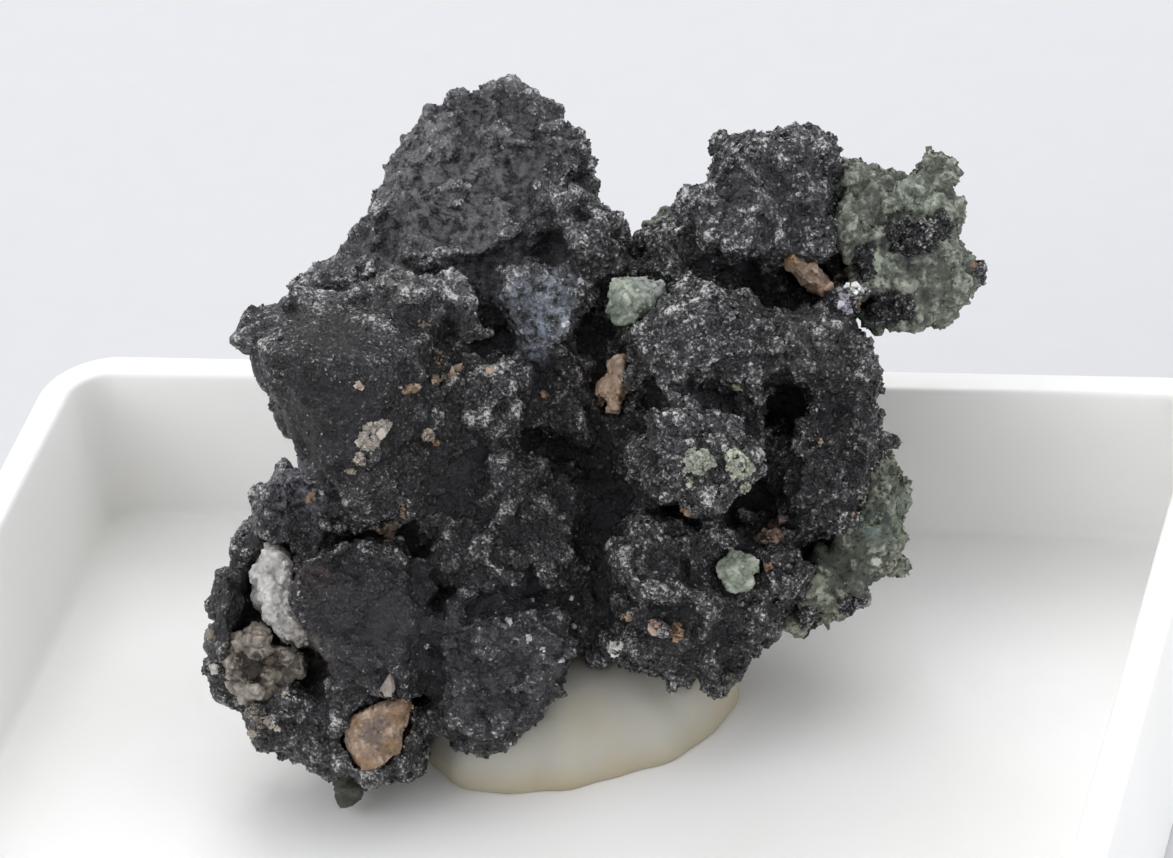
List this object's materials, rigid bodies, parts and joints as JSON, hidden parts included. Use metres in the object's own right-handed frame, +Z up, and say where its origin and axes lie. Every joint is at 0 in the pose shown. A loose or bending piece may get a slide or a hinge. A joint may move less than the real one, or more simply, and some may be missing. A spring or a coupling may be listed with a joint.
{
  "type": "native silver mineral specimen",
  "caption": "Black tarnished native silver, lumpy and hackly, with green matrix and pale grains, fixed by off-white tack in a shallow white plastic tray.",
  "frame": {"origin": "centre of the tray's underside", "axes": "+Z up, +X along the tray's long side to the right as the specimen faces the viewer, +Y towards the tray's back wall"},
  "size_m": [0.041, 0.034, 0.0198],
  "materials": {
    "white_polystyrene": "moulded, satin",
    "off_white_tack": "pressed, waxy",
    "tarnished_silver": "black sulphide tarnish, sugary crystal faces that glint",
    "green_matrix": "granular, dull",
    "pale_green_mineral": "waxy, slightly translucent",
    "white_calcite": "cloudy crystal",
    "tan_crust": "dull, earthy",
    "iron_stained_mineral": "iron-stained, satin"
  },
  "bodies": {
    "root": {"display_tray": "white_polystyrene", "mounting_tack": "off_white_tack", "native_silver": "tarnished_silver", "green_matrix_upper": "green_matrix", "green_matrix_lower": "green_matrix", "green_matrix_back": "green_matrix", "dark_green_foot": "green_matrix", "pale_green_bead": "pale_green_mineral", "pale_green_round_grain": "pale_green_mineral", "white_crystal": "white_calcite", "tan_crust": "tan_crust", "brown_crystal_left": "iron_stained_mineral", "brown_crystal_right": "iron_stained_mineral", "tan_shard_centre": "iron_stained_mineral"}
  },
  "joints": []
}
